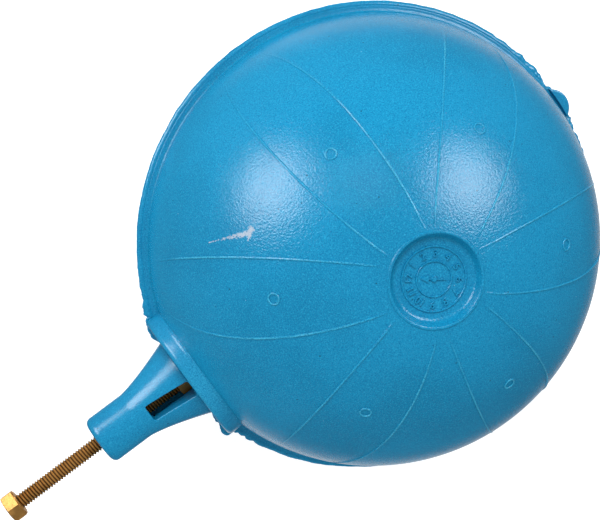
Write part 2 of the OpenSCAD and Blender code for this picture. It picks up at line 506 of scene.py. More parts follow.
def scrape_group():
    """A scrape between two points of the piece, broken up along its way."""
    group = bpy.data.node_groups.get("Scrape")
    if group:
        return group
    inputs = (
        ("From", "NodeSocketVector", (0, 0, 0)),
        ("To", "NodeSocketVector", (1, 0, 0)),
        ("Width", "NodeSocketFloat", 0.001),
    )
    group, given, result = new_group("Scrape", inputs, (("Mask", "NodeSocketFloat"),))

    def vector(operation, *values):
        return add_node(group, "ShaderNodeVectorMath", dict(enumerate(values)), operation=operation)

    where = add_node(group, "ShaderNodeTexCoord").outputs["Object"]
    out = vector("SUBTRACT", where, given.outputs["From"]).outputs[0]
    line = vector("SUBTRACT", given.outputs["To"], given.outputs["From"]).outputs[0]
    share = maths(group, "DIVIDE", vector("DOT_PRODUCT", out, line).outputs["Value"],
                  vector("DOT_PRODUCT", line, line).outputs["Value"])
    held = add_node(group, "ShaderNodeClamp", {"Value": share}).outputs[0]
    foot = vector("SCALE", line)
    group.links.new(held, foot.inputs["Scale"])
    away = vector("LENGTH", vector("SUBTRACT", out, foot.outputs[0]).outputs[0]).outputs["Value"]
    width = maths(group, "MULTIPLY", given.outputs["Width"], maths(group, "ADD", held, 0.15))
    inside = maths(group, "SUBTRACT", 1.0, maths(group, "DIVIDE", away, width))
    torn = maths(group, "SUBTRACT", noise_value(group, where, 1400.0, 3.0, 0.7), 0.42)
    broken = maths(group, "ADD", inside, maths(group, "MULTIPLY", torn, 3.5))
    group.links.new(remap(group, broken, 0.25, 0.75), result.inputs["Mask"])
    return group


def new_material(name):
    """A material with a Principled BSDF, returned with its tree and shader."""
    material = bpy.data.materials.new(name)
    material.use_nodes = True
    tree = material.node_tree
    return material, tree, tree.nodes["Principled BSDF"]


def ball_point(azimuth, polar, radius=BALL_R):
    """A point at an azimuth from +X and a polar angle from +Z, both in degrees."""
    across = radius * math.sin(math.radians(polar))
    return BALL_CENTRE + Vector((across * math.cos(math.radians(azimuth)),
                                 across * math.sin(math.radians(azimuth)),
                                 radius * math.cos(math.radians(polar))))


# Colours that lie over the plastic's own, and each scrape as its two ends on the ball (azimuth, polar
# angle) and its greatest width.
PALE_GRAIN = (0.015, 0.36, 0.60)
DEEP_GRAIN = (0.004, 0.13, 0.30)
DARK_SPECK = (0.004, 0.03, 0.04)
LIGHT_SPECK = (0.30, 0.62, 0.75)
# Painted highlight: the pale colour laid on raised relief such as the ribs and pin rings.
PAINTED_RIB_HIGHLIGHT = (0.06, 0.48, 0.70)
SCRAPED = (0.44, 0.48, 0.55)
SCRAPES = (
    ((-42.5, 56.5), (-48.5, 45.5), 1.1 * MM),
    ((-46.2, 45.2), (-49.8, 45.0), 1.3 * MM),
)


def plastic_colour(tree, grain, shell):
    """The plastic's own colour with its clouds, grain and specks."""
    base = blend_colour(tree, grain.outputs["Cloud"], shell.plastic, shell.plastic_shade)
    pale = remap(tree, grain.outputs["Fine"], 0.52, 0.68, 0.0, 0.65)
    base = blend_colour(tree, pale, base, PALE_GRAIN)
    deep = remap(tree, grain.outputs["Fine"], 0.48, 0.32, 0.0, 0.75)
    base = blend_colour(tree, deep, base, DEEP_GRAIN)
    specks = (
        ({"Scale": 260.0, "Size": 0.09, "Share": 0.14}, 0.6, DARK_SPECK),
        ({"Scale": 330.0, "Size": 0.06, "Share": 0.05}, 0.5, LIGHT_SPECK),
    )
    for values, strength, colour in specks:
        speck = place_group(tree, speck_group(), values).outputs["Mask"]
        base = blend_colour(tree, maths(tree, "MULTIPLY", speck, strength), base, colour)
    return base


def rubbed_mask(tree, grain, outward, height):
    """Where the raised ribs are painted pale as a highlight: raised off the ball, away from the weld and the
    recess lip.
    """
    off_ball = remap(tree, outward, BALL_R + 0.1 * MM, BALL_R + 0.35 * MM)
    off_weld = remap(tree, maths(tree, "ABSOLUTE", height), 22 * MM, 32 * MM)
    off_lip = remap(tree, height, RECESS_TOP - 0.2 * MM, RECESS_TOP - 0.9 * MM)
    raised = maths(tree, "MULTIPLY", maths(tree, "MULTIPLY", off_ball, off_weld), off_lip)
    patchy = maths(tree, "MULTIPLY", raised, remap(tree, grain.outputs["Fine"], 0.35, 0.60, 0.1, 0.8))
    return maths(tree, "MULTIPLY", patchy, remap(tree, grain.outputs["Cloud"], 0.2, 0.9, 0.3, 0.8))


def plastic_material():
    """Satin moulded plastic: grain, clouds, specks, a painted highlight on the ribs and a white scrape in
    two strokes.
    """
    material = bpy.data.materials.get("moulded plastic")
    if material:
        return material
    material, tree, shader = new_material("moulded plastic")
    values = {"Grain Scale": 2000.0, "Bump Scale": 1300.0, "Wave Scale": 110.0, "Wave Share": 0.8}
    grain = place_group(tree, grain_group(), values)
    base = plastic_colour(tree, grain, bpy.context.scene.float_shell)
    where = add_node(tree, "ShaderNodeTexCoord").outputs["Object"]
    away = add_node(tree, "ShaderNodeVectorMath", {0: where, 1: BALL_CENTRE}, operation="DISTANCE")
    outward = away.outputs["Value"]
    height = add_node(tree, "ShaderNodeSeparateXYZ", {"Vector": where}).outputs["Z"]
    # Painted highlight: raised relief off the ball is tinted pale.
    base = blend_colour(tree, rubbed_mask(tree, grain, outward, height), base, PAINTED_RIB_HIGHLIGHT)
    scrapes = []
    for start, end, width in SCRAPES:
        values = {"From": ball_point(*start), "To": ball_point(*end), "Width": width}
        scrapes.append(place_group(tree, scrape_group(), values).outputs["Mask"])
    scraped = maths(tree, "MAXIMUM", *scrapes)
    base = blend_colour(tree, maths(tree, "MULTIPLY", scraped, 0.75), base, SCRAPED)
    tree.links.new(base, shader.inputs["Base Color"])
    smooth = remap(tree, outward, BALL_R + 0.6 * MM, BALL_R + 1.4 * MM)
    rough = remap(tree, grain.outputs["Fine"], 0.3, 0.7, 0.15, 0.23)
    rough = maths(tree, "ADD", rough, maths(tree, "MULTIPLY", smooth, 0.02))
    rough = maths(tree, "ADD", rough, maths(tree, "MULTIPLY", scraped, 0.25))
    tree.links.new(rough, shader.inputs["Roughness"])
    kept = maths(tree, "SUBTRACT", 1.0, maths(tree, "MULTIPLY", smooth, 0.75))
    texture = maths(tree, "MULTIPLY", grain.outputs["Height"], kept)
    bump = add_node(tree, "ShaderNodeBump", {"Height": texture, "Strength": 1.0, "Distance": 0.15 * MM})
    tree.links.new(bump.outputs["Normal"], shader.inputs["Normal"])
    shader.inputs["IOR"].default_value = 1.5
    return material


CLOUDY_BRASS = (0.44, 0.21, 0.04)
SPOTTED_BRASS = (0.24, 0.10, 0.02)


def brass_material():
    """Machined brass, with painted shade darkening the thread's roots, and cloudy on its flats."""
    material = bpy.data.materials.get("machined brass")
    if material:
        return material
    brass = bpy.context.scene.float_brass
    material, tree, shader = new_material("machined brass")
    values = {"Grain Scale": 2600.0, "Bump Scale": 2600.0, "Wave Scale": 700.0, "Wave Share": 0.6}
    grain = place_group(tree, grain_group(), values)
    where = add_node(tree, "ShaderNodeTexCoord").outputs["Object"]
    axes = add_node(tree, "ShaderNodeSeparateXYZ", {"Vector": where})
    flat = add_node(tree, "ShaderNodeCombineXYZ", {"X": axes.outputs["Y"], "Y": axes.outputs["Z"]})
    reach = add_node(tree, "ShaderNodeVectorMath", {0: flat.outputs[0]}, operation="LENGTH")
    crest_side = brass.screw_r - 0.2 * brass.thread_depth
    root_side = brass.screw_r - 0.9 * brass.thread_depth
    # Painted shade: the deeper into the thread's roots, the darker the brass is coloured.
    in_root = remap(tree, reach.outputs["Value"], crest_side, root_side, 0.0, 0.9)
    cloudy = maths(tree, "MULTIPLY", grain.outputs["Cloud"], 0.35)
    base = blend_colour(tree, cloudy, brass.brass, CLOUDY_BRASS)
    spots = remap(tree, grain.outputs["Fine"], 0.55, 0.75, 0.0, 0.6)
    base = blend_colour(tree, spots, base, SPOTTED_BRASS)
    # Painted shade in the thread's roots.
    base = blend_colour(tree, in_root, base, brass.tarnish)
    tree.links.new(base, shader.inputs["Base Color"])
    bare = remap(tree, grain.outputs["Cloud"], 0.0, 1.0, 0.78, 0.5)
    tree.links.new(bare, shader.inputs["Metallic"])
    rough = remap(tree, grain.outputs["Fine"], 0.3, 0.7, 0.36, 0.52)
    rough = maths(tree, "ADD", rough, maths(tree, "MULTIPLY", in_root, 0.2))
    tree.links.new(rough, shader.inputs["Roughness"])
    values = {"Height": grain.outputs["Height"], "Strength": 0.7, "Distance": 0.04 * MM}
    bump = add_node(tree, "ShaderNodeBump", values)
    tree.links.new(bump.outputs["Normal"], shader.inputs["Normal"])
    return material


# ---- half shells ----

SHELL_STEPS = 320
FILLET_R = 0.8 * MM
EDGE_R = 0.45 * MM
LIP_W = 1.2 * MM
LIP_R = 0.3 * MM
LIP_DROP = 0.1 * MM
RECESS_RIM_R = 0.6 * MM
RECESS_FILLET_R = 2 * MM
DIMPLE_R = 4 * MM
DIMPLE_DEPTH = 0.7 * MM
GATE_R = 0.9 * MM
GATE_DEPTH = 0.25 * MM
COLLAR_EDGE_R = 2 * MM
EAR_EDGE_R = 0.7 * MM
EAR_CUT_STEPS = 720


def polar_arc(radius, first, last, steps):
    """Points of a half shell's profile between two polar angles in degrees."""
    return arc((0, 0), radius, math.radians(90 - first), math.radians(90 - last), steps)


def shell_skirt(shell):
    """The shared lower outline of a half, from the ball's side round the flange to the inner wall."""
    root = math.degrees(math.acos((shell.flange_t + FILLET_R) / (BALL_R + FILLET_R)))
    fillet_x = (BALL_R + FILLET_R) * math.sin(math.radians(root))
    fillet = arc((fillet_x, shell.flange_t + FILLET_R), FILLET_R, math.pi, 1.5 * math.pi, 5)
    edge = arc((FLANGE_R - EDGE_R, shell.flange_t - EDGE_R), EDGE_R, math.pi / 2, 0, 4)
    inner_r = BALL_R - shell.wall
    return root, fillet + edge + [(FLANGE_R, 0), (inner_r, 0)]


def front_outline(shell):
    """Profile of the front half: recess floor, sloped wall, raised lip, ball, flange, inner face."""
    root, skirt = shell_skirt(shell)
    floor_z = RECESS_TOP - shell.recess_depth
    lip_out = math.degrees(math.asin((shell.recess_r + LIP_W) / BALL_R))
    lip_z = BALL_R * math.cos(math.radians(lip_out))
    recess = rounded([
        (0, floor_z, 0),
        (shell.recess_floor_r, floor_z, RECESS_FILLET_R),
        (shell.recess_r, RECESS_TOP, RECESS_RIM_R),
        (shell.recess_r + 0.75 * LIP_W, RECESS_TOP - LIP_DROP, LIP_R),
        (shell.recess_r + LIP_W, lip_z, 0),
    ])
    outer = polar_arc(BALL_R, lip_out + 0.5, root - 0.5, 150)
    inner_r = BALL_R - shell.wall
    pan_z = floor_z - shell.wall
    pan_edge = math.degrees(math.asin((shell.recess_r + shell.wall) / inner_r))
    inner = polar_arc(inner_r, 89, pan_edge, 40)
    return recess + outer + skirt + inner + [(shell.recess_floor_r + 1 * MM, pan_z), (0, pan_z)]


def rear_outline(shell):
    """Profile of the rear half: a small gate dimple at the pole, ball, flange, inner face."""
    root, skirt = shell_skirt(shell)
    floor_z = BALL_R - DIMPLE_DEPTH
    gate = rounded([
        (0, BALL_R - GATE_DEPTH, 0),
        (GATE_R, BALL_R - GATE_DEPTH, 0.2 * MM),
        (GATE_R + 0.2 * MM, floor_z, 0.2 * MM),
        (DIMPLE_R - 0.6 * MM, floor_z, 0.3 * MM),
        (DIMPLE_R, math.sqrt(BALL_R ** 2 - DIMPLE_R ** 2), 0),
    ])
    dimple_edge = math.degrees(math.asin(DIMPLE_R / BALL_R))
    outer = polar_arc(BALL_R, dimple_edge + 0.3, root - 0.5, 160)
    inner = polar_arc(BALL_R - shell.wall, 89, 0, 44)[:-1] + [(0, BALL_R - shell.wall)]
    return gate + outer + skirt + inner


def half_collar(shell):
    """The round collar above the weld plane, with a rounded outer edge."""
    inside = math.sqrt((BALL_R - shell.wall / 2) ** 2 - shell.collar_r ** 2)
    outline = rounded([
        (0, inside, 0),
        (shell.collar_r, inside, 0),
        (shell.collar_r, COLLAR_FACE, COLLAR_EDGE_R),
        (0, COLLAR_FACE, 0),
    ], 8)
    collar = moved(lathe(outline, 240), along_x())
    reach = 2 * shell.collar_r
    keep = prism([(0, -reach), (EAR_TIP * 2, -reach), (EAR_TIP * 2, reach), (0, reach)], 0, reach)
    return combine(collar, [moved(keep, Matrix.Translation(BALL_CENTRE))], "INTERSECT")


def ear(shell, height):
    """The rounded ear on the flange's edge, with the slit that parts it from the ball."""
    corners = [(0, 0, 0), (shell.ear_r, 0, 0), (shell.ear_r, height, EAR_EDGE_R), (0, height, 0)]
    outline = rounded(corners, 6)
    block = lathe(outline, 72)
    moved(block, Matrix.Translation(BALL_CENTRE - Vector((EAR_TIP - shell.ear_r, 0, 0))))
    slit = polar_arc(BALL_R + shell.ear_slit, 0.5, 89, 60)
    slit = [point for point in slit if point[1] > shell.flange_t]
    slit_foot = [(slit[-1][0], shell.flange_t), (0, shell.flange_t)]
    hollow = lathe([(0, slit[0][1])] + slit + slit_foot, EAR_CUT_STEPS)
    inside = BALL_R - shell.wall / 2
    core = lathe([(0, -height), (inside, -height), (inside, 2 * height), (0, 2 * height)], EAR_CUT_STEPS)
    cutters = [moved(cutter, Matrix.Translation(BALL_CENTRE)) for cutter in (hollow, core)]
    return combine(block, cutters, "DIFFERENCE")


def petal_half_width(polar):
    """Half the width of a petal, in degrees of arc, at a polar angle in degrees."""
    widest, at_polar, spread = 9.7, 48, 288
    return widest - (polar - at_polar) ** 2 / spread


def rib(shell, centre_azimuth, side):
    """One fine rib along a petal's edge, half sunk in the ball and thinning to nothing at its ends."""
    first, last, steps, sides = 12.3, 80, 120, 8
    rise, fall = 14, 3.2
    bm = bmesh.new()
    rows = []
    for i in range(steps + 1):
        share = i / steps
        polar = first + (last - first) * share
        azimuth = centre_azimuth + side * petal_half_width(polar) / math.sin(math.radians(polar))
        foot = ball_point(azimuth, polar) - BALL_CENTRE
        ahead = polar + 0.5
        azimuth_ahead = centre_azimuth + side * petal_half_width(ahead) / math.sin(math.radians(ahead))
        way = (ball_point(azimuth_ahead, ahead) - BALL_CENTRE - foot).normalized()
        up = foot.normalized()
        across = way.cross(up).normalized()
        swell = min(1, rise * share, fall * (1 - share)) * (0.82 + 0.36 * noise.noise(foot * 90))
        height = max(swell, 0.05) * shell.rib_height
        row = []
        for k in range(sides):
            angle = TAU * k / sides
            spot = foot + across * math.cos(angle) * shell.rib_width / 2 + up * math.sin(angle) * height
            row.append(bm.verts.new(BALL_CENTRE + spot))
        rows.append(row)
    for near, far in zip(rows, rows[1:]):
        add_quads(bm, near, far)
    bm.faces.new(rows[0])
    bm.faces.new(rows[-1])
    return finish_bmesh(bm, "rib")


PIN_POLAR = 38
PIN_R = 2.1 * MM
PIN_EDGE_R = 0.4 * MM


def pin_mark(azimuth, polar):
    """The low raised ring that a mould's round pin leaves."""
    ring = lathe(arc((PIN_R, 0), PIN_EDGE_R, 0, TAU * 11 / 12, 11), 48, ring=True)
    up = (ball_point(azimuth, polar) - BALL_CENTRE).normalized()
    turn = up.to_track_quat("Z", "Y").to_matrix().to_4x4()
    return moved(ring, Matrix.Translation(ball_point(azimuth, polar, BALL_R + 0.02 * MM)) @ turn)


def relief(shell):
    """The ribs and pin marks of one half, in the front half's place."""
    pieces = []
    for i in range(shell.petals):
        azimuth = math.degrees(shell.petal_azimuth) + 360 * i / shell.petals
        pieces += [rib(shell, azimuth, -1), rib(shell, azimuth, 1), pin_mark(azimuth, PIN_POLAR)]
    return pieces


def build_half(outline, ear_height, shell):
    """A half shell above the weld plane, with collar, ear, ribs and the hole for the neck."""
    half = moved(lathe(outline, SHELL_STEPS), Matrix.Translation(BALL_CENTRE))
    combine(half, [half_collar(shell), ear(shell, ear_height)] + relief(shell), "UNION")
    hole = lathe([(0, 0), (shell.spigot_r, 0), (shell.spigot_r, NECK_END), (0, NECK_END)], 144)
    return combine(half, [moved(hole, along_x())], "DIFFERENCE")


# ---- weld ----

WELD_STEP = 0.4 * MM
# Without a seed the noise vectors start from the clock, and the torn weld differs on every run.
WELD_SEED = 7
WELD_SIDES = 12
LEAST_RISE = 0.25 * MM
# The bead's size on the flange, the collar's side, its rounded edge and its face.
ON_FLANGE, ON_SIDE, ON_EDGE, ON_FACE = 1.0, 0.5, 0.42, 0.34


def weld_path(shell, side):
    """Points and outward directions in the weld plane, from the ear round to the neck's root."""
    ear_centre = EAR_TIP - shell.ear_r
    ear_edge = 0.97 * math.acos((RIM_R ** 2 + ear_centre ** 2 - shell.ear_r ** 2) / (2 * RIM_R * ear_centre))
    collar_edge = math.asin(shell.collar_r / FLANGE_R)
    radius = FLANGE_R
    path = []
    count = int(radius * (math.pi - ear_edge - collar_edge) / WELD_STEP)
    for i in range(count + 1):
        angle = math.pi - ear_edge - (math.pi - ear_edge - collar_edge) * i / count
        out = Vector((math.cos(angle), side * math.sin(angle), 0))
        path.append((out * radius, out, ON_FLANGE))
    corner_r = COLLAR_EDGE_R
    start_x = radius * math.cos(collar_edge)
    edge = Vector((COLLAR_FACE - corner_r, side * (shell.collar_r - corner_r), 0))
    straight = int((edge.x - start_x) / WELD_STEP) + 1
    for i in range(1, straight + 1):
        x = start_x + (edge.x - start_x) * i / straight
        path.append((Vector((x, side * shell.collar_r, 0)), Vector((0, side, 0)), ON_SIDE))
    turns = 8
    for i in range(1, turns):
        angle = math.pi / 2 * (1 - i / turns)
        out = Vector((math.cos(angle), side * math.sin(angle), 0))
        path.append((edge + out * corner_r, out, ON_EDGE))
    face_end = bpy.context.scene.float_neck.flare_r + 0.6 * MM
    across = int((shell.collar_r - corner_r - face_end) / WELD_STEP)
    for i in range(across + 1):
        y = shell.collar_r - corner_r - (shell.collar_r - corner_r - face_end) * i / across
        path.append((Vector((COLLAR_FACE, side * y, 0)), Vector((1, 0, 0)), ON_FACE))
    return path


def weld_raggedness(point, shell):
    """How torn the weld is, from 0 to 1: most near the ear and the collar."""
    near_ear = math.exp(-((point - Vector((-FLANGE_R, 0, 0))).length / (24 * MM)) ** 2)
    collar = (abs(point.y) - shell.collar_r) / (9 * MM)
    near_collar = math.exp(-collar ** 2) if point.x > 0 else 0
    return min(1, 0.12 + 1.1 * near_ear + 1.1 * near_collar)


def weld_strip(shell, side):
    """One side's weld bead, smooth along the flange and torn near the ear and the collar."""
    noise.seed_set(WELD_SEED)
    bm = bmesh.new()
    rows = []
    path = weld_path(shell, side)
    for i, (foot, out, size) in enumerate(path):
        torn = weld_raggedness(foot, shell)
        seed = foot * 1000 + Vector((0, 0, 50 * side))
        wave = noise.noise(seed * 0.16) + 0.6 * noise.noise(seed * 0.4) + 0.25 * noise.noise(seed)
        height = size * (RIM_R - FLANGE_R) * 0.93 + 1.2 * torn * shell.flash * wave
        height = max(height + 0.2 * torn * shell.flash, LEAST_RISE)
        uneven = 0.97 + 0.25 * torn * noise.noise(seed * 0.8 + out * 7)
        half_t = BEAD_HALF_T * (0.45 + 0.5 * size) * uneven
        lean = torn * 0.5 * MM * noise.noise(seed * 0.3 + Vector((9, 0, 0)))
        fade = min(1, 0.35 + (len(path) - 1 - i) / 6)
        row = []
        for k in range(WELD_SIDES):
            angle = TAU * k / WELD_SIDES
            rise = math.sin(angle) * (height if math.sin(angle) > 0 else 0.5 * MM)
            z = math.cos(angle) * half_t * fade + (lean if math.sin(angle) > 0 else 0)
            spot = foot + out * rise * fade + Vector((0, 0, z))
            if torn > 0.2 and math.sin(angle) > 0:
                spot += 0.15 * MM * torn * Vector(noise.noise_vector(spot * 900))
            row.append(bm.verts.new(BALL_CENTRE + spot))
        rows.append(row)
    for near, far in zip(rows, rows[1:]):
        add_quads(bm, near, far)
    bm.faces.new(rows[0])
    bm.faces.new(rows[-1])
    return finish_bmesh(bm, "weld")


# ---- date dial in the pole recess ----

DIAL_HEIGHT = 0.7 * MM
DIAL_TURN = math.radians(-128)
DIAL_SUNK = 0.05 * MM
NUMBER_BEVEL = 0.05 * MM


def dial_number(text, size):
    """A plain raised number, centred on the origin."""
    curve = bpy.data.curves.new("dial_number", "FONT")
    curve.body = text
    curve.size = size
    curve.align_x = "CENTER"
    curve.align_y = "CENTER"
    curve.extrude = DIAL_HEIGHT / 2
    curve.bevel_depth = NUMBER_BEVEL
    obj = bpy.data.objects.new("dial_number", curve)
    bpy.context.scene.collection.objects.link(obj)
    bpy.context.view_layer.update()
    mesh = bpy.data.meshes.new_from_object(obj.evaluated_get(bpy.context.evaluated_depsgraph_get()))
    bpy.data.objects.remove(obj)
    bpy.data.curves.remove(curve)
    number = bpy.data.objects.new("dial_number", mesh)
    bpy.context.scene.collection.objects.link(number)
    return number


def dial_ring(radius, width):
    """A low raised ring with rounded shoulders."""
    half = width / 2
    outline = [(radius - half, -DIAL_HEIGHT / 2), (radius + half, -DIAL_HEIGHT / 2)]
    outline += [(radius + half, DIAL_HEIGHT * 0.3), (radius + half * 0.5, DIAL_HEIGHT / 2)]
    outline += [(radius - half * 0.5, DIAL_HEIGHT / 2), (radius - half, DIAL_HEIGHT * 0.3)]
    return lathe(outline, 120, ring=True)


def date_dial():
    """A mould's round date mark: numbers 1 to 12 round an arrow, between two rings."""
    outer, inner, numbers_r, number_size = 12.1 * MM, 6.6 * MM, 9.4 * MM, 3.9 * MM
    pieces = [dial_ring(outer, 0.6 * MM), dial_ring(inner, 0.5 * MM)]
    for month in range(1, 13):
        turn = Matrix.Rotation(-TAU * month / 12, 4, "Z")
        place = Matrix.Translation((0, numbers_r, 0))
        pieces.append(moved(dial_number(str(month), number_size), turn @ place))
    half = DIAL_HEIGHT / 2
    tail, barb, tip = -4.6 * MM, 2 * MM, 5 * MM
    shaft_w, barb_w = 0.3 * MM, 1.4 * MM
    shaft = prism([(-shaft_w, tail), (shaft_w, tail), (shaft_w, barb), (-shaft_w, barb)], -half, half)
    point = prism([(-barb_w, barb), (barb_w, barb), (0, tip)], -half, half)
    stud = [(0, -half), (1.3 * MM, -half), (1.1 * MM, half), (0.8 * MM, 2.4 * half), (0, 2.6 * half)]
    return join_meshes("date_dial", pieces + [shaft, point, lathe(stud, 40)])


# ---- neck ----

NECK_VOXEL = 0.37 * MM
KEEPER_T = 4 * MM
SPIGOT_PLAY = 0.1 * MM
SHOULDER_PLAY = 0.1 * MM
WINDOW_FOOT = 0.3 * MM
FLARE_CURVE = 1.3
# How far a cutter runs past what it cuts.
OVERRUN = 1 * MM


def neck_outline(neck, shell):
    """Profile from the keeper disc inside the ball, over the flare, to the neck's flat end."""
    shoulder = COLLAR_FACE + SHOULDER_PLAY
    keeper_out = KEEPER_IN + KEEPER_T
    spigot = shell.spigot_r - SPIGOT_PLAY
    flare = []
    steps = 24
    for i in range(steps + 1):
        share = i / steps
        radius = neck.neck_r + (neck.flare_r - neck.neck_r) * (1 - share) ** FLARE_CURVE
        flare.append((radius, shoulder + neck.flare_len * share))
    straight = 6 * MM
    end = [(neck.neck_r, NECK_END - straight, 0), (neck.neck_r, NECK_END, neck.edge_r), (0, NECK_END, 0)]
    inner = [(0, KEEPER_IN), (KEEPER_R, KEEPER_IN), (KEEPER_R, keeper_out)]
    inner += [(spigot, keeper_out), (spigot, shoulder)]
    return inner + flare + rounded(end, 8)


def build_neck(neck, shell):
    """The neck with its nut pocket, bolt hole and window, its edges eased as moulded."""
    body = lathe(neck_outline(neck, shell), 200)
    window_in = COLLAR_FACE + WINDOW_FOOT
    pocket_out = window_in + neck.window_len
    reach = 2 * neck.flare_r
    corner_r = neck.pocket_af / 2 / math.cos(TAU / 12)
    hexagon = [(corner_r * math.cos(TAU * k / 6), corner_r * math.sin(TAU * k / 6)) for k in range(6)]
    pocket = prism(hexagon, KEEPER_IN - OVERRUN, pocket_out)
    past_end = NECK_END + OVERRUN
    bore = lathe([(0, PLUG_END), (neck.bore_r, PLUG_END), (neck.bore_r, past_end), (0, past_end)], 96)
    half_w = neck.window_w / 2
    window = prism([(-reach, -half_w), (0, -half_w), (0, half_w), (-reach, half_w)], window_in, pocket_out)
    combine(body, [pocket, bore, window], "DIFFERENCE")
    moved(body, along_x())
    remesh = body.modifiers.new("ease", "REMESH")
    remesh.mode = "VOXEL"
    remesh.voxel_size = NECK_VOXEL
    smooth = body.modifiers.new("smooth", "SMOOTH")
    smooth.factor = 0.5
    smooth.iterations = 5
    return apply_modifiers(body)


# ---- nut and bolt ----

THREAD_SIDES = 60
THREAD_ROWS = 8
TURNED_STEPS = 96
TIP_CHAMFER = 0.7 * MM
WASHER_T = 0.4 * MM


def thread_shape(share, depth):
    """Depth below the crest at a share of the pitch: a crest flat, two flanks and a root flat."""
    crest, root = 0.07, 0.11
    away = abs((share % 1.0) - 0.5) * 2
    return depth * (1 - min(1, max(0, (away - root) / (1 - crest - root))))


def thread_rod(crest_r, depth, pitch, low, high):
    """A right-hand screw along +X that runs past low and high, closed at both ends."""
    bm = bmesh.new()
    turns = int((high - low) / pitch) + 3
    start = (math.floor(low / pitch) - 2) * pitch
    sides, per_turn = THREAD_SIDES, THREAD_ROWS
    total = turns * per_turn
    rows = []
    for i in range(total + per_turn + 1):
        along = start + pitch * i / per_turn
        radius = crest_r - thread_shape(i / per_turn, depth)
        row = []
        for k in range(sides):
            angle = TAU * k / sides
            x = along + pitch * k / sides
            row.append(bm.verts.new((x, radius * math.cos(angle), radius * math.sin(angle))))
        rows.append(row)
    for i in range(total):
        near, far = rows[i], rows[i + 1]
        for k in range(sides - 1):
            bm.faces.new((near[k], near[k + 1], far[k + 1], far[k]))
        bm.faces.new((near[-1], rows[i + per_turn][0], rows[i + 1 + per_turn][0], far[-1]))
    for i in (0, total):
        rim = rows[i] + [rows[i + j][0] for j in range(per_turn, 0, -1)]
        hub = bm.verts.new((rows[i][0].co.x + pitch / 2, 0, 0))
        add_quads(bm, [hub], rim)
    bmesh.ops.delete(bm, geom=[v for v in bm.verts if not v.link_faces], context="VERTS")
    return finish_bmesh(bm, "thread")


def hex_radius(af, angle):
    """Distance from a hexagon's centre to its side in a direction."""
    return af / 2 / math.cos((angle % (TAU / 6)) - TAU / 12)


def hex_block(af, low, high, cut_low, cut_high, turn=0.0):
    """A hexagon along +X whose corners are turned off at 30 degrees at the ends asked for."""
    bm = bmesh.new()
    face_r = af / 2 - 0.25 * MM
    slope = math.tan(math.radians(30))
    rows = {"low_face": [], "low": [], "high": [], "high_face": []}
    for i in range(TURNED_STEPS):
        angle = TAU * i / TURNED_STEPS
        radius = hex_radius(af, angle)
        drop = (radius - face_r) * slope
        levels = {
            "low_face": (low, face_r if cut_low else radius * 0.985),
            "low": (low + (drop if cut_low else 0.1 * MM), radius),
            "high": (high - (drop if cut_high else 0.1 * MM), radius),
            "high_face": (high, face_r if cut_high else radius * 0.985),
        }
        for key, (x, r) in levels.items():
            rows[key].append(bm.verts.new((x, r * math.cos(angle + turn), r * math.sin(angle + turn))))
    ends = [[bm.verts.new((low, 0, 0))], rows["low_face"], rows["low"], rows["high"], rows["high_face"],
            [bm.verts.new((high, 0, 0))]]
    for near, far in zip(ends, ends[1:]):
        add_quads(bm, near, far)
    return finish_bmesh(bm, "hexagon")


def turned_x(outline):
    """A lathe along +X whose heights are frame X values."""
    return moved(lathe(outline, TURNED_STEPS), Matrix.Rotation(math.radians(90), 4, "Y"))


def build_bolt(brass):
    """The bolt: a full right-hand thread, a washer face and a hexagon head."""
    rod = thread_rod(brass.screw_r, brass.thread_depth, brass.pitch, BOLT_TIP, HEAD_SEAT)
    roomy = brass.screw_r + 0.2 * MM
    into_head = HEAD_SEAT + 0.5 * MM
    envelope = turned_x([
        (0, BOLT_TIP),
        (brass.screw_r - TIP_CHAMFER, BOLT_TIP),
        (roomy, BOLT_TIP + TIP_CHAMFER + 0.2 * MM),
        (roomy, into_head),
        (0, into_head),
    ])
    combine(rod, [envelope], "INTERSECT")
    washer_r = brass.hex_af / 2 - 0.35 * MM
    edge = 0.1 * MM
    washer = turned_x([
        (0, HEAD_SEAT),
        (washer_r - edge, HEAD_SEAT),
        (washer_r, HEAD_SEAT + edge),
        (washer_r, HEAD_SEAT + WASHER_T + edge),
        (0, HEAD_SEAT + WASHER_T + edge),
    ])
    turn = brass.head_turn - math.radians(90)
    head = hex_block(brass.hex_af, HEAD_SEAT + WASHER_T, BOLT_END, False, True, turn)
    return combine(rod, [washer, head], "UNION")


def build_nut(brass):
    """The nut, turned at both ends, with a thread that matches the bolt's."""
    block = hex_block(brass.hex_af, NUT_IN, NUT_OUT, True, True, math.radians(90))
    crest_r = brass.screw_r + brass.thread_play
    thread = thread_rod(crest_r, brass.thread_depth, brass.pitch, NUT_IN, NUT_OUT)
    return combine(block, [thread], "DIFFERENCE")


# ---- stage ----

SOFTBOX_FROM = ((0.422, -0.850, 0.314), (-0.726, -0.104, 0.680))
FILL_FROM = (-0.15, -0.65, 0.75)
DARK_SIDE = (0.827, -0.562, 0)
LIGHT_AWAY = 1.2
SOFTBOX_SIZE = 0.7
FILL_SIZE = 0.5
FLOOR_R = 6
FLOOR_T = 2 * MM
FLOOR_GLOW = 0.45


def aim_matrix(place, target, roll=None):
    """A matrix at a place, looking at a target, turned by roll from upright."""
    forward = (target - place).normalized()
    upright = Vector((0, 0, 1))
    upright = (upright - forward * upright.dot(forward)).normalized()
    aside = forward.cross(upright)
    up = upright if roll is None else upright * math.cos(roll) + aside * math.sin(roll)
    axes = Matrix((forward.cross(up), up, -forward)).transposed().to_4x4()
    return Matrix.Translation(place) @ axes


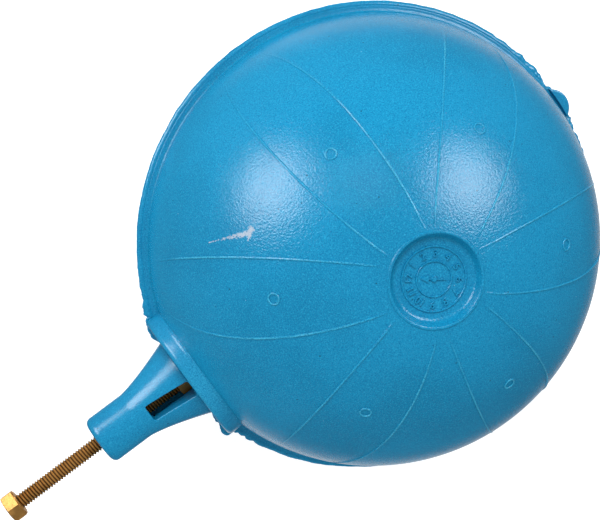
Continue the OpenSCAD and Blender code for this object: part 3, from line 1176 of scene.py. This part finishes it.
def build_camera(stage):
    """The camera, aimed and rolled."""
    data = bpy.data.cameras.new("camera")
    data.lens = stage.camera_lens
    data.sensor_width = 36
    data.sensor_fit = "HORIZONTAL"
    data.clip_start = 0.01
    camera = bpy.data.objects.new("camera", data)
    bpy.context.scene.collection.objects.link(camera)
    place = BALL_CENTRE + Vector(stage.camera_from)
    camera.matrix_world = aim_matrix(place, BALL_CENTRE + Vector(stage.camera_to), stage.camera_roll)
    bpy.context.scene.camera = camera


def add_light(name, direction, size, power):
    """A round area light that looks at the ball's centre."""
    data = bpy.data.lights.new(name, "AREA")
    data.shape = "DISK"
    data.size = size
    data.energy = power
    light = bpy.data.objects.new(name, data)
    bpy.context.scene.collection.objects.link(light)
    light.matrix_world = aim_matrix(BALL_CENTRE + Vector(direction) * LIGHT_AWAY, BALL_CENTRE)
    return light


def build_lights(stage):
    """Two softboxes that make only the shine, and one broad soft fill that makes none."""
    for i, direction in enumerate(SOFTBOX_FROM):
        softbox = add_light(f"softbox_{i + 1}", direction, SOFTBOX_SIZE, stage.softbox_power)
        softbox.visible_diffuse = False
    fill = add_light("fill", FILL_FROM, FILL_SIZE, stage.fill_power)
    fill.visible_glossy = False


def build_surround(stage):
    """White surroundings that reflect dimly, but for a bright low side away from the neck."""
    world = bpy.data.worlds.new("surround")
    world.use_nodes = True
    tree = world.node_tree
    glossy = add_node(tree, "ShaderNodeLightPath").outputs["Is Glossy Ray"]
    direction = add_node(tree, "ShaderNodeTexCoord").outputs["Generated"]
    height = add_node(tree, "ShaderNodeSeparateXYZ", {"Vector": direction}).outputs["Z"]
    aside = add_node(tree, "ShaderNodeVectorMath", {0: direction, 1: DARK_SIDE}, operation="DOT_PRODUCT")
    open_side = remap(tree, aside.outputs["Value"], 0.35, -0.05)
    low = maths(tree, "MULTIPLY", remap(tree, height, -0.66, -0.93), open_side)
    reflected = maths(tree, "MULTIPLY_ADD", low, stage.surround - stage.reflected, stage.reflected)
    change = maths(tree, "MULTIPLY", glossy, maths(tree, "SUBTRACT", reflected, stage.surround))
    strength = maths(tree, "ADD", change, stage.surround)
    background = tree.nodes["Background"]
    background.inputs["Color"].default_value = (1, 1, 1, 1)
    tree.links.new(strength, background.inputs["Strength"])
    bpy.context.scene.world = world
    bpy.context.scene.view_settings.view_transform = "Standard"


def floor_material():
    """A plain pale floor."""
    material, _, shader = new_material("pale floor")
    shader.inputs["Base Color"].default_value = (*bpy.context.scene.float_stage.floor_colour, 1)
    shader.inputs["Roughness"].default_value = 0.9
    shader.inputs["Specular IOR Level"].default_value = 0.1
    shader.inputs["Emission Color"].default_value = (1, 1, 1, 1)
    shader.inputs["Emission Strength"].default_value = FLOOR_GLOW
    return material


def build_floor():
    """A wide pale disc just under the ball."""
    floor = lathe([(0, -FLOOR_T), (FLOOR_R, -FLOOR_T), (FLOOR_R, 0), (0, 0)], 96)
    moved(floor, Matrix.Translation((BALL_X, 0, -BALL_R)))
    floor.name = "floor"
    floor.visible_glossy = False
    floor.data.materials.append(floor_material())


# ---- operators ----

class FLOAT_OT_front_shell(bpy.types.Operator):
    """Build the front half shell with its recess, ribs, half collar and ear"""

    bl_idname = "ball_float.front_shell"
    bl_label = "Front shell"

    def execute(self, context):
        shell = context.scene.float_shell
        piece = build_half(front_outline(shell), shell.ear_front_h, shell)
        finish_piece(piece, "moulded_front_shell", "float", plastic_material(), ["front_shell"])
        return {"FINISHED"}


class FLOAT_OT_rear_shell(bpy.types.Operator):
    """Build the rear half shell with its ribs, half collar and ear"""

    bl_idname = "ball_float.rear_shell"
    bl_label = "Rear shell"

    def execute(self, context):
        shell = context.scene.float_shell
        piece = build_half(rear_outline(shell), shell.ear_rear_h, shell)
        moved(piece, Matrix.Scale(-1, 4, (0, 0, 1)))
        finish_piece(piece, "moulded_rear_shell", "float", plastic_material(), ["rear_shell"])
        return {"FINISHED"}


class FLOAT_OT_weld_bead(bpy.types.Operator):
    """Build the squeezed-out weld round the two flanges and over the collar"""

    bl_idname = "ball_float.weld_bead"
    bl_label = "Weld bead"

    def execute(self, context):
        shell = context.scene.float_shell
        piece = join_meshes("weld", [weld_strip(shell, side) for side in (-1, 1)])
        finish_piece(piece, "torn_weld_bead", "float", plastic_material(), ["weld_bead"], 60)
        return {"FINISHED"}


class FLOAT_OT_date_dial(bpy.types.Operator):
    """Build the raised date dial on the floor of the pole recess"""

    bl_idname = "ball_float.date_dial"
    bl_label = "Date dial"

    def execute(self, context):
        shell = context.scene.float_shell
        height = RECESS_TOP - shell.recess_depth + DIAL_HEIGHT / 2 - DIAL_SUNK
        turn = Matrix.Rotation(DIAL_TURN, 4, "Z")
        piece = moved(date_dial(), Matrix.Translation(BALL_CENTRE + Vector((0, 0, height))) @ turn)
        finish_piece(piece, "date_dial", "float", plastic_material())
        return {"FINISHED"}


class FLOAT_OT_neck(bpy.types.Operator):
    """Build the flared neck and finish the plug inside it"""

    bl_idname = "ball_float.neck"
    bl_label = "Neck"

    def execute(self, context):
        scene = context.scene
        piece = build_neck(scene.float_neck, scene.float_shell)
        finish_piece(piece, "moulded_neck", "float", plastic_material(), ["neck_socket"], 70)
        plug = frame["nodes"]["pocket_plug"]
        for slot in plug.material_slots:
            slot.material = plastic_material()
        return {"FINISHED"}


class FLOAT_OT_nut(bpy.types.Operator):
    """Build the captive nut"""

    bl_idname = "ball_float.nut"
    bl_label = "Captive nut"

    def execute(self, context):
        piece = build_nut(context.scene.float_brass)
        finish_piece(piece, "threaded_nut", "nut", brass_material(), ["captive_nut"], 25)
        return {"FINISHED"}


class FLOAT_OT_bolt(bpy.types.Operator):
    """Build the threaded bolt"""

    bl_idname = "ball_float.bolt"
    bl_label = "Fixing bolt"

    def execute(self, context):
        piece = build_bolt(context.scene.float_brass)
        finish_piece(piece, "threaded_bolt", "bolt", brass_material(), ["fixing_bolt"], 25)
        return {"FINISHED"}


class FLOAT_OT_stage(bpy.types.Operator):
    """Set up the camera, the lights and the floor"""

    bl_idname = "ball_float.stage"
    bl_label = "Stage"

    def execute(self, context):
        stage = context.scene.float_stage
        build_camera(stage)
        build_lights(stage)
        build_surround(stage)
        build_floor()
        return {"FINISHED"}


class FLOAT_PT_pieces(bpy.types.Panel):
    """Lists the pieces that can be built"""

    bl_idname = "FLOAT_PT_pieces"
    bl_label = "Ball float"
    bl_space_type = "VIEW_3D"
    bl_region_type = "UI"
    bl_category = "Ball float"

    def draw(self, context):
        for operator in OPERATORS:
            self.layout.operator(operator.bl_idname)
        for name, group in SETTINGS:
            box = self.layout.box()
            for key in group.__annotations__:
                box.prop(getattr(context.scene, name), key)


OPERATORS = (
    FLOAT_OT_stage,
    FLOAT_OT_front_shell,
    FLOAT_OT_rear_shell,
    FLOAT_OT_weld_bead,
    FLOAT_OT_date_dial,
    FLOAT_OT_neck,
    FLOAT_OT_nut,
    FLOAT_OT_bolt,
)


def register():
    """Registers the settings, the operators and the panel."""
    for name, group in SETTINGS:
        bpy.utils.register_class(group)
        setattr(bpy.types.Scene, name, bpy.props.PointerProperty(type=group))
    for operator in OPERATORS:
        bpy.utils.register_class(operator)
    bpy.utils.register_class(FLOAT_PT_pieces)


def unregister():
    """Takes back what register added."""
    bpy.utils.unregister_class(FLOAT_PT_pieces)
    for operator in reversed(OPERATORS):
        bpy.utils.unregister_class(operator)
    for name, group in reversed(SETTINGS):
        delattr(bpy.types.Scene, name)
        bpy.utils.unregister_class(group)


def main():
    """Builds every piece and the stage."""
    register()
    for operator in OPERATORS:
        group, name = operator.bl_idname.split(".")
        getattr(getattr(bpy.ops, group), name)()


if __name__ == "__main__":
    main()
